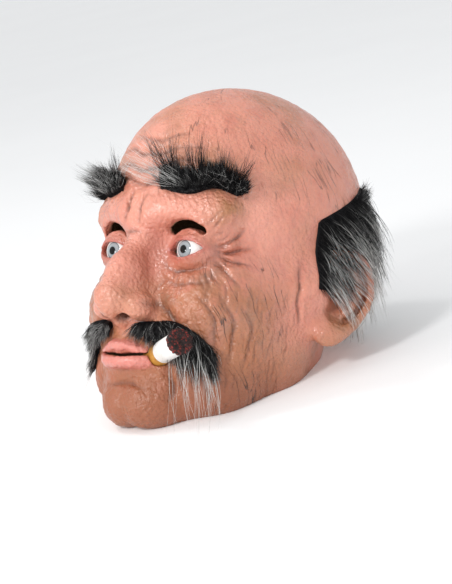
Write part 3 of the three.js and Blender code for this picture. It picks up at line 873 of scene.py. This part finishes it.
# Round pieces and eyes
def lathe(profile, sides, centre, axis, side, up):
    """Points and faces of a round piece from (place along the axis, radius) pairs, a point at either end."""
    turn = np.linspace(0, 2 * math.pi, sides, endpoint=False)[:, None]
    round_about = np.cos(turn) * side + np.sin(turn) * up
    rings = [centre + axis * along + radius * round_about for along, radius in profile[1:-1]]
    first, last = (centre + axis * along for along, _ in (profile[0], profile[-1]))
    points = np.concatenate([[first], *rings, [last]])
    faces = []
    for i in range(sides):
        j = (i + 1) % sides
        faces.append((0, 1 + i, 1 + j, -1))
        for a in range(1, len(points) - 1 - sides, sides):
            faces.append((a + i, a + sides + i, a + sides + j, a + j))
        faces.append((a + sides + i, len(points) - 1, a + sides + j, -1))
    return points, np.array(faces)


def eye(side, node, material):
    """A ball cut off flat behind, with the distance from its gaze and the turn about it at its points."""
    rings = 40
    polar = math.acos(-EYE_BACK / EYE_RADIUS) * np.arange(1, rings + 1) / rings
    profile = [(-EYE_RADIUS, 0), *zip(-EYE_RADIUS * np.cos(polar), EYE_RADIUS * np.sin(polar)), (EYE_BACK, 0)]
    centre = np.array((EYE[0] * side, EYE[1], EYE[2]))
    across, back, up = np.eye(3)
    points, faces = lathe(profile, 72, centre, back, across, up)
    thing = build_mesh(node + "_dome", points, faces)
    ball = points - centre
    store(thing, "ring", np.where(ball[:, 1] < 0, np.hypot(ball[:, 0], ball[:, 2]), EYE_RADIUS))
    store(thing, "turn", np.arctan2(ball[:, 2], ball[:, 0]))
    finished(thing, node, material)


# Furs
def level_rays(turn):
    return np.stack([np.sin(turn), -np.cos(turn), np.zeros_like(turn)], -1)


def level_way(turn, side):
    """Directions along the skin, level and away from the face's middle."""
    return np.stack([np.cos(turn), np.sin(turn), np.zeros_like(turn)], 1) * side


def skin_points(axis_y, turn, z):
    """Points of the earless head on level rays from an upright axis, and the rays' directions."""
    way = level_rays(turn)
    start = np.stack([np.zeros_like(turn), np.full_like(turn, axis_y), z], 1)
    near, far = np.full(len(turn), 40.0), np.full(len(turn), 150.0)
    for _ in range(16):
        half = (near + far) / 2
        inside = field_at(earless_head, start + way * half[:, None]) < 0
        near, far = np.where(inside, half, near), np.where(inside, far, half)
    return start + way * near[:, None], way


def off_floor(points):
    """Lifts points off the floor that the neck's edge stands on."""
    return points + UP * np.maximum(1.0 - above_rim(points), 0)[..., None]


def off_head(paths, rng):
    """Pushes the hairs' points out of the head."""
    clearance = 0.7
    points = paths[:, 1:].reshape(-1, 3)
    for _ in range(2):
        d = field_at(plain_head, points).astype(float)
        low = d < clearance
        if low.any():
            slope = unit(slope_of(plain_head, points[low], d[low], 0.3))
            points[low] += slope * (clearance - d[low])[:, None]
    paths[:, 1:] = points.reshape(len(paths), -1, 3)
    return paths


def strand_mesh(paths, radii, pale):
    """Points, faces and paleness of thin three-sided hairs, each tapering to its tip."""
    count, rings = paths.shape[0], paths.shape[1] - 1
    run = unit(np.gradient(paths, axis=1))
    side = unit(np.cross(run, np.array((0.31, 0.27, 0.91))))
    other = np.cross(run, side)
    corners = []
    for k in range(3):
        a = 2 * math.pi * k / 3
        corners.append(paths + (math.cos(a) * side + math.sin(a) * other) * radii[..., None])
    body = np.stack(corners, 2)[:, :rings].reshape(-1, 3)
    first = (np.arange(count) * rings * 3)[:, None]
    top = first + (rings - 1) * 3
    tip = (len(body) + np.arange(count))[:, None]
    faces = []
    for r in range(rings - 1):
        for k in range(3):
            j = (k + 1) % 3
            base = first + r * 3
            faces.append(np.concatenate([base + k, base + j, base + 3 + j, base + 3 + k], 1))
    for k in range(3):
        faces.append(np.concatenate([top + k, top + (k + 1) % 3, tip, np.full_like(tip, -1)], 1))
    shade = np.concatenate([np.repeat(pale[:, :rings], 3, axis=1).ravel(), pale[:, -1]])
    return np.concatenate([body, paths[:, -1]]), np.concatenate(faces), shade


@dataclass
class Hairs:
    """One kind of hair: first what each kind says, then what is usual."""
    count: int
    locks: tuple  # across and down
    length: float
    radius: float
    wild: float  # spread of directions
    gather: float  # draw to the lock's middle
    fade: tuple  # where along the hair its tone starts and is full
    tone: object
    where: tuple = (0, 1, 0, 1)  # part of the guides' sheet
    rings: int = 4
    curl: float = 0.05
    uneven: float = 0.12
    shortest: float = 0.75
    base: float = 1.0  # distance of the root from the skin
    lean: tuple = (0, 0, 0)
    streak: float = 0


def grown(guides, kind, clear, rng):
    """The hairs of one kind: each bends from its lock's first direction to its last one."""
    count, (columns, rows) = kind.count, kind.locks
    u_from, u_to, v_from, v_to = kind.where
    u, v = rng.uniform(u_from, u_to, count), rng.uniform(v_from, v_to, count)
    root, way, _, _, _ = guides(u, v)
    lock_u = np.clip(np.round(u * columns + rng.uniform(-0.3, 0.3, count)) / columns, 0, 1)
    lock_v = np.clip(np.round(v * rows + rng.uniform(-0.3, 0.3, count)) / rows, 0, 1)
    lock_root, _, first, last, length = guides(lock_u, lock_v)
    here = lock_root.astype(np.float32)
    sway = np.cross(way, last) * ripple(here, 14, 5)[:, None] * 0.16
    wild = rng.normal(size=(count, 3)) * kind.wild
    lean = np.array(kind.lean)
    start = unit(first + wild * 0.6 + lean * 0.7)
    end = unit(last + sway + wild + lean)
    uneven = 1 + kind.uneven * np.clip(ripple(here, 7, 8), -1.6, 1.6)
    far = (length * uneven * kind.length * rng.uniform(kind.shortest, 1.1, count))[:, None]
    apart = root - lock_root
    gather = (apart - way * (apart * way).sum(1)[:, None]) * kind.gather
    curl = np.cross(end, rng.normal(size=(count, 3))) * kind.curl * far
    steps = np.linspace(0, 1, kind.rings + 1)
    paths = np.stack([
        root + way * kind.base + far * (t * start + 0.5 * t * t * (end - start))
        - gather * t ** 1.4 + curl * math.sin(math.pi * t) * 0.5
        for t in steps], 1)
    paths = clear(paths, rng)
    paths[:, 1:] = off_floor(paths[:, 1:])
    radii = kind.radius * (1 - 0.8 * steps)[None] * rng.uniform(0.7, 1.2, count)[:, None]
    tone = kind.tone(u, v, rng) + kind.streak * ripple(here, 5, 9)
    pale = np.clip(tone[:, None] * ramp(steps[None], *kind.fade), 0, 1)
    return strand_mesh(paths, radii, pale)


def backing(guides, columns, rows, height):
    """Dark felted pile under the hairs: a low bulging sheet with closed edges."""
    u, v = (a.ravel() for a in np.meshgrid(np.linspace(0, 1, columns + 1), np.linspace(0, 1, rows + 1)))
    root, way, _, _, _ = guides(u, v)
    edge = np.minimum(1, 6 * np.minimum(v, 1 - v) + 0.2)
    edge *= np.minimum(1, columns / 4 * np.minimum(u, 1 - u) + 0.2)
    tuft = 1 + 0.2 * ripple(root.astype(np.float32), 6, 21)
    top = off_floor(root + way * (height * edge * tuft)[:, None])
    bottom = root - way * 0.6
    n = len(root)
    ids = np.arange(n).reshape(rows + 1, columns + 1)
    sheet = np.stack([ids[1:, :-1], ids[1:, 1:], ids[:-1, 1:], ids[:-1, :-1]], -1).reshape(-1, 4)
    underside = n + sheet[:, [2, 1, 0, 3]]
    border = np.concatenate([ids[0, :-1], ids[:-1, -1], ids[-1, :0:-1], ids[:0:-1, 0]])
    after = np.roll(border, -1)
    rim = np.stack([after, n + after, n + border, border], 1)
    return np.concatenate([top, bottom]), np.concatenate([sheet, underside, rim]), np.zeros(2 * n)


def fur(node, guides, hairs, under, material, seed, clear=off_head):
    """Hairs that follow guides in locks, over a dark backing, as one piece that stands for the node."""
    rng = np.random.default_rng(seed)
    parts = [under] + [grown(guides, kind, clear, rng) for kind in hairs]
    points, faces, pale = zip(*parts)
    starts = np.cumsum([0] + [len(p) for p in points])
    faces = [np.where(f >= 0, f + start, -1) for f, start in zip(faces, starts)]
    thing = build_mesh(node + "_fur", np.concatenate(points), np.concatenate(faces))
    store(thing, "pale", np.concatenate(pale))
    finished(thing, node, material)


def seldom(most, power):
    """Mostly black hairs, a few of them paler."""
    return lambda u, v, rng: most * rng.uniform(0, 1, len(u)) ** power


def mixed(share):
    """Pale hairs among black ones."""
    def tone(u, v, rng):
        pale = rng.uniform(0, 1, len(u)) < share
        return np.where(pale, rng.uniform(0.6, 1.1, len(u)), 0.05)
    return tone


def often(least):
    return lambda u, v, rng: rng.uniform(least, 1, len(u))


# Each guide gives a hair's root, the skin's way out, its first and last direction and its length
def brow_guides(side):
    """Short upright pile, standing out further to the sides; the right brow is a long, nearly level brush."""
    brush, lowest, height, flatter = (5, 0.1, 1.1, 0.72) if side > 0 else (11, 0.42, 0.12, 0)

    def guides(u, v):
        turn = np.radians(13 + 41 * u) * side
        low = 194 + 3 * np.sin(np.pi * u) + 3 * u + 2.2 * np.sin(11 * u + 1)
        ends = 0.45 + 0.55 * ease(np.minimum(u, 1 - u), 0, 0.14)
        root, way = skin_points(NOSE_AXIS_Y, turn, low + 6 + (v * 16 - 6) * ends)
        outer = ease(u, 0.25, 0.8)
        inner = 1 - ease(u, 0.0, 0.45)
        along = level_way(turn, side) * inner[:, None]
        tall = ALOFT * ((lowest + height * v) * (1 - flatter * outer))[:, None]
        first = unit(way + 0.6 * tall - 0.2 * along)
        last = unit(way * (0.25 + 0.9 * outer)[:, None] + tall - 0.4 * along)
        tuft = np.exp(-((u - 0.68) / 0.05) ** 2)
        return root, way, first, last, 9 + v * (10 + 8 * tuft + 6 * inner) + brush * outer
    return guides


def brow(side, node, material):
    """Pile, locks, taller ones from its upper half, curly fine hairs, and ones swept over the nose's root."""
    pile = Hairs(4600, (16, 3), 0.6, 0.3, 0.17, 0.35, (0.5, 1.2), seldom(0.25, 3), rings=2)
    locks = Hairs(1100, (13, 3), 1.0, 0.22, 0.1, 0.8, (0.45, 1.1), seldom(0.4, 3), uneven=0.25, streak=0.05)
    tall = Hairs(500, (11, 1), 1.4, 0.18, 0.1, 0.8, (0.6, 1.3), seldom(0.7, 2),
                 where=(0, 1, 0.65, 1), curl=0.06, uneven=0.5)
    fine = Hairs(70, (40, 8), 1.3, 0.11, 0.45, 0.1, (0.0, 0.2), often(0.4), where=(0.1, 1, 0.3, 1), curl=0.35)
    swept = Hairs(100, (9, 3), 3.0, 0.15, 0.22, 0.3, (0.15, 0.4), often(0.55),
                  where=(0, 0.4, 0.2, 1), rings=6, curl=0.12, lean=(-1.8 * side, -0.35, 0.25))
    if side < 0:
        locks = replace(locks, count=1300, wild=0.07, tone=mixed(0.45), streak=0.2)
        tall = replace(tall, count=25, where=(0.12, 0.16, 0.65, 1), length=0.85, lean=(0, 0, 1.5))
        fine = replace(fine, wild=0.3)
        swept = replace(swept, count=12)
    guides = brow_guides(side)
    fur(node, guides, (pile, locks, tall, fine, swept), backing(guides, 60, 14, 3.5), material, 31 + side)


def moustache_guides(side):
    """From under the nose outwards and down past the mouth's corner."""
    longer = 6 if side > 0 else 1

    def guides(u, v):
        turn = np.radians(8 + 33 * u) * side
        top = 88 + 4 * np.sin(0.9 * np.pi * u) - 24 * u ** 3
        tall = (15 + 4 * u) * (0.35 + 0.65 * ease(u, 0, 0.3))
        root, way = skin_points(NOSE_AXIS_Y, turn, top - v * tall)
        along = level_way(turn, side)
        inner = 1 - ease(u, 0.05, 0.35)
        outwards, downwards = 0.75 - 0.55 * u - 0.9 * inner, 0.45 + 1.2 * u
        first = way * 0.8 + along * (0.4 - 0.6 * inner)[:, None] - ALOFT * (0.15 + 0.4 * v)[:, None]
        last = way * 0.15 + along * outwards[:, None] - ALOFT * downwards[:, None]
        return root, way, unit(first), unit(last), 12 + longer * u + 4 * inner
    return guides


def moustache(side, node, material):
    """Pile, locks, a tuft beside the mouth's corner, fine curly hairs and long pale ones."""
    pile = Hairs(4300, (13, 3), 0.8, 0.28, 0.14, 0.4, (0.5, 1.2), seldom(0.3, 3), rings=2)
    locks = Hairs(1400, (11, 3), 1.1, 0.22, 0.13, 0.6, (0.5, 1.1), seldom(0.5, 3), uneven=0.2, streak=0.12)
    tuft = Hairs(600, (11, 3), 1.8, 0.25, 0.14, 0.6, (0.5, 1.1), seldom(0.5, 3),
                 where=(0.4, 0.8, 0.4, 1), uneven=0.3, lean=(-0.25 * side, 0, -0.8))
    fine = Hairs(90, (40, 8), 1.4, 0.12, 0.3, 0.1, (0.0, 0.2), often(0.5), curl=0.2)
    pale = Hairs(80, (7, 2), 4.3, 0.19, 0.32, 0.5, (0.02, 0.12), often(0.6),
                 where=(0.35, 1, 0.2, 1), rings=6, curl=0.09, base=3, uneven=0.3,
                 lean=(0.1 * side, 0.15, -2.0))
    if side < 0:
        locks = replace(locks, tone=mixed(0.5))
        tuft = replace(tuft, count=60, length=1.1)
        pale = replace(pale, count=40, length=1.6)
    guides = moustache_guides(side)
    fur(node, guides, (pile, locks, tuft, fine, pale), backing(guides, 50, 14, 3.5), material, 51 + side)


DRAPE_TURNS, DRAPE_HEIGHTS = np.radians(np.arange(60, 301, 1.0)), np.arange(66, 240, 2.0)


def reach_of_head():
    """How far the head and its ears reach from the hair's axis, by turn and height."""
    turn, z = (a.ravel() for a in np.meshgrid(DRAPE_TURNS, DRAPE_HEIGHTS, indexing="ij"))
    way, axis = level_rays(turn), np.stack([0 * z, 0 * z + HAIR_AXIS_Y, z], 1)
    reach = np.full(len(turn), 150.0)
    for _ in range(40):
        reach -= 0.8 * np.maximum(field_at(plain_head, axis + way * reach[:, None]), 0)
    return reach.reshape(len(DRAPE_TURNS), len(DRAPE_HEIGHTS))


def draped(reach):
    """The same reach with its hollows bridged, as lying hair bridges them."""
    bridged = reach
    for _ in range(36):
        wide = np.pad(bridged, 1, mode="edge")
        bridged = np.maximum(reach, (wide[:-2, 1:-1] + wide[2:, 1:-1] + wide[1:-1, :-2] + wide[1:-1, 2:]) / 4)
    return bridged


def looked_up(grid, points):
    """A grid's values at the points' turns and heights."""
    turn = np.arctan2(points[..., 0], HAIR_AXIS_Y - points[..., 1]) % (2 * np.pi)
    a = (turn - DRAPE_TURNS[0]) / (DRAPE_TURNS[1] - DRAPE_TURNS[0])
    b = (points[..., 2] - DRAPE_HEIGHTS[0]) / (DRAPE_HEIGHTS[1] - DRAPE_HEIGHTS[0])
    a, b = np.clip(a, 0, len(DRAPE_TURNS) - 1.001), np.clip(b, 0, len(DRAPE_HEIGHTS) - 1.001)
    i, j = a.astype(int), b.astype(int)
    a, b = a - i, b - j
    low = grid[i, j] * (1 - a) + grid[i + 1, j] * a
    return low * (1 - b) + (grid[i, j + 1] * (1 - a) + grid[i + 1, j + 1] * a) * b


def over_ears():
    """Keeps the hairs outside the draped head, each a little apart, but for those that grow behind an ear."""
    reach = reach_of_head()
    drape = draped(reach)

    def clear(paths, rng):
        radius = np.hypot(paths[..., 0], paths[..., 1] - HAIR_AXIS_Y)
        behind = looked_up(reach, paths[:, :1]) - radius[:, :1] > 5
        apart = rng.uniform(1.0, 4.0, len(paths))[:, None] * (np.arange(paths.shape[1]) > 0)
        grown = np.where(behind, 1, np.maximum(1, (looked_up(drape, paths) + apart) / radius))
        paths[..., 0] *= grown
        paths[..., 1] = (paths[..., 1] - HAIR_AXIS_Y) * grown + HAIR_AXIS_Y
        return paths
    return clear


def hair_guides(u, v):
    """From temple to temple round the back, flowing back and down; the lower edge rises over each ear."""
    to_back = np.sin(np.pi * u)
    turn = np.radians(71 + 218 * u)
    top = 182 + 38 * np.minimum(1, 1.6 * to_back)
    at_ear = np.exp(-((np.minimum(u, 1 - u) - 0.115) / 0.045) ** 2)
    bottom = 124 - 16 * to_back + 44 * at_ear
    root, way = skin_points(HAIR_AXIS_Y, turn, top + (bottom - top) * v)
    backwards = level_way(turn, 1) * (np.sign(0.5 - u) * np.minimum(1, 3.2 * np.abs(u - 0.5)))[:, None]
    v = v[:, None]
    first = unit(way * (0.5 - 0.1 * v) + backwards * 0.5 - ALOFT * (0.4 + 0.3 * v))
    last = unit(backwards * 0.55 - ALOFT)
    return root, way, first, last, 34 + 4 * v[:, 0] + 12 * at_ear


def hair_tone(u, v, rng):
    """Black with a few pale hairs at the top and the front, more pale ones downwards and to the back."""
    share = 0.08 + 0.42 * ease(v, 0.15, 0.8) + 0.6 * ease(np.minimum(u, 1 - u), 0.1, 0.3)
    pale = rng.uniform(0, 1, len(u)) < share
    return np.where(pale, rng.uniform(0.7, 1.2, len(u)), rng.uniform(-0.2, 0.25, len(u)))


def hair(node, material):
    """Pile, long locks, fine hairs, a ruff at the top, locks over the ears and short hairs at the edge."""
    pile = Hairs(3000, (60, 12), 0.4, 0.36, 0.16, 0.3, (0.5, 1.5), hair_tone, rings=2)
    locks = Hairs(3100, (44, 8), 1.0, 0.3, 0.06, 0.88, (0.1, 0.65), hair_tone,
                  rings=6, curl=0.04, uneven=0.3, shortest=0.92, streak=0.25)
    fine = Hairs(300, (60, 9), 1.35, 0.15, 0.13, 0.3, (0.0, 0.3), often(0.6), rings=5, curl=0.1)
    ruff = Hairs(900, (60, 1), 0.4, 0.25, 0.25, 0.5, (0.5, 1.1), seldom(0.9, 1),
                 where=(0.12, 0.88, 0, 0.12), rings=2, lean=(0, 0, 1.2))
    over = Hairs(450, (70, 6), 1.2, 0.19, 0.11, 0.7, (0.05, 0.4), often(0.6),
                 rings=6, curl=0.06, uneven=0.25, streak=0.3)
    edge = Hairs(260, (300, 12), 0.4, 0.25, 0.3, 0.1, (0.6, 1.4), seldom(0.5, 3), rings=2)
    hairs = [pile, locks, fine, ruff]
    hairs += [replace(over, where=(start, start + 0.14, 0.25, 1)) for start in (0.02, 0.84)]
    hairs += [replace(edge, where=where) for where in ((0, 0.02, 0, 1), (0.98, 1, 0, 1))]
    hairs += [replace(edge, where=(0, 1, 0, 0.02), count=600, locks=(300, 1))]
    fur(node, hair_guides, hairs, backing(hair_guides, 110, 18, 3.0), material, 71, over_ears())


# Cigarette stub
def turned(node, profile, material, rough=0.0):
    """A round piece of the stub, its skin roughened by rough."""
    side = unit(np.cross(stub_axis, ALOFT))
    points, faces = lathe(profile, STUB_SIDES, STUB_FROM, stub_axis, side, np.cross(side, stub_axis))
    bumps = rough * ripple(points.astype(np.float32), 3.2, 9)
    points = points + unit(points - points[0]) * bumps[:, None]
    finished(build_mesh(node + "_turned", points, faces), node, material)


def closed_bar(start, end, radius, round_end=0.5):
    """A bar's profile with slightly rounded ends."""
    edge = [(0, radius - round_end), (round_end * 0.3, radius - round_end * 0.3), (round_end, radius)]
    return [(start, 0), *((start + a, r) for a, r in edge), *((end - a, r) for a, r in edge[::-1]), (end, 0)]


def ember_profile(start, end, steps=14):
    """A straight bar whose front is a low dome that steepens towards its edge."""
    dome = [(end - 0.4 - 0.9 * (k / steps) ** 3, EMBER_RADIUS * k / steps) for k in range(steps - 1, -1, -1)]
    back = [(start, 0), (start, EMBER_RADIUS - 1), (start + 1, EMBER_RADIUS - 0.3)]
    return back + [(start + along, EMBER_RADIUS) for along in (2, 3, 4, 5)] + dome


def stub():
    ember_start = stub_length - EMBER_LENGTH
    filter_bar = closed_bar(0, FILTER_LENGTH, STUB_RADIUS)
    paper_bar = closed_bar(FILTER_LENGTH + STUB_GAP, ember_start - STUB_GAP, STUB_RADIUS)
    ochre = stub_paint("filter", rgb(0.52, 0.25, 0.035), rgb(0.33, 0.13, 0.015), 0.55, 160, 0.0004)
    white = stub_paint("paper", rgb(0.82, 0.81, 0.79), rgb(0.70, 0.68, 0.64), 0.6, 70, 0.0003)
    turned("cigarette_filter", filter_bar, ochre)
    turned("cigarette_paper", paper_bar, white)
    turned("cigarette_ember", ember_profile(ember_start, stub_length), ember_paint(), rough=0.45)


# Stage, light and camera
def stage():
    reach = 9.0
    corners = [(x * reach, y * reach, 0) for x, y in ((-1, -1), (1, -1), (1, 1), (-1, 1))]
    mesh = bpy.data.meshes.new("floor")
    mesh.from_pydata(corners, [], [(0, 1, 2, 3)])
    paint = Paint("floor")
    mesh.materials.append(paint.finish(
        Base_Color=paint.mix(paint.noise(3, 2), rgb(0.88, 0.88, 0.88), rgb(0.92, 0.92, 0.92)), Roughness=0.85,
        Specular_IOR_Level=0.1, Emission_Color=rgb(1, 1, 1), Emission_Strength=0.08))
    added("floor", mesh)


def light(name, where, energy, size):
    """A square lamp that faces the head's middle."""
    lamp = bpy.data.lights.new(name, "AREA")
    lamp.energy, lamp.size = energy, size
    thing = added(name, lamp)
    thing.location = where
    thing.rotation_euler = (Vector((0, 0, 0.12)) - Vector(where)).to_track_quat("-Z", "Y").to_euler()


def lights():
    world = bpy.data.worlds.new("studio")
    bpy.context.scene.world = world
    world.use_nodes = True
    background = world.node_tree.nodes["Background"]
    background.inputs["Color"].default_value = rgb(0.97, 0.985, 1.0)
    background.inputs["Strength"].default_value = 0.8
    light("key", (0.26, -1.38, 1.0), 13.2, 0.26)
    light("left", (-1.0, -0.4, 1.8), 6, 0.3)
    light("in the eyes", (-0.55, -1.49, 0.585), 3.4, 0.18)


TURN, PITCH = math.radians(41), math.radians(4)
AWAY, FRAME_HEIGHT = 1.6, 0.517
AIM = Vector((-4.0, -3.5, 122.0))


def camera():
    """The camera is set on the upright head, which the picture shows, and tipped back with it."""
    tip = TIP @ Matrix.Rotation(PITCH, 3, "X")
    away = tip @ Vector((math.sin(TURN), -math.cos(TURN), 0))
    right = (tip @ Vector((0, 0, 1))).cross(away).normalized()
    axes = Matrix((right, away.cross(right).normalized(), away)).transposed().to_4x4()
    lens = bpy.data.cameras.new("camera")
    lens.lens = lens.sensor_width / FRAME_HEIGHT * AWAY
    thing = added("camera", lens)
    aim = TIP @ (AIM * MM) + SHIFT
    thing.matrix_world = Matrix.Translation(aim + away * AWAY) @ axes
    bpy.context.scene.camera = thing


skin()
eye_material = eye_paint()
eye(1, "left_eye", eye_material)
eye(-1, "right_eye", eye_material)
fur_material = fur_paint()
brow(1, "left_eyebrow", fur_material)
brow(-1, "right_eyebrow", fur_material)
moustache(1, "left_moustache", fur_material)
moustache(-1, "right_moustache", fur_material)
hair("hair_fringe", fur_material)
stub()
stage()
lights()
camera()
bpy.context.scene.view_settings.view_transform = "Standard"
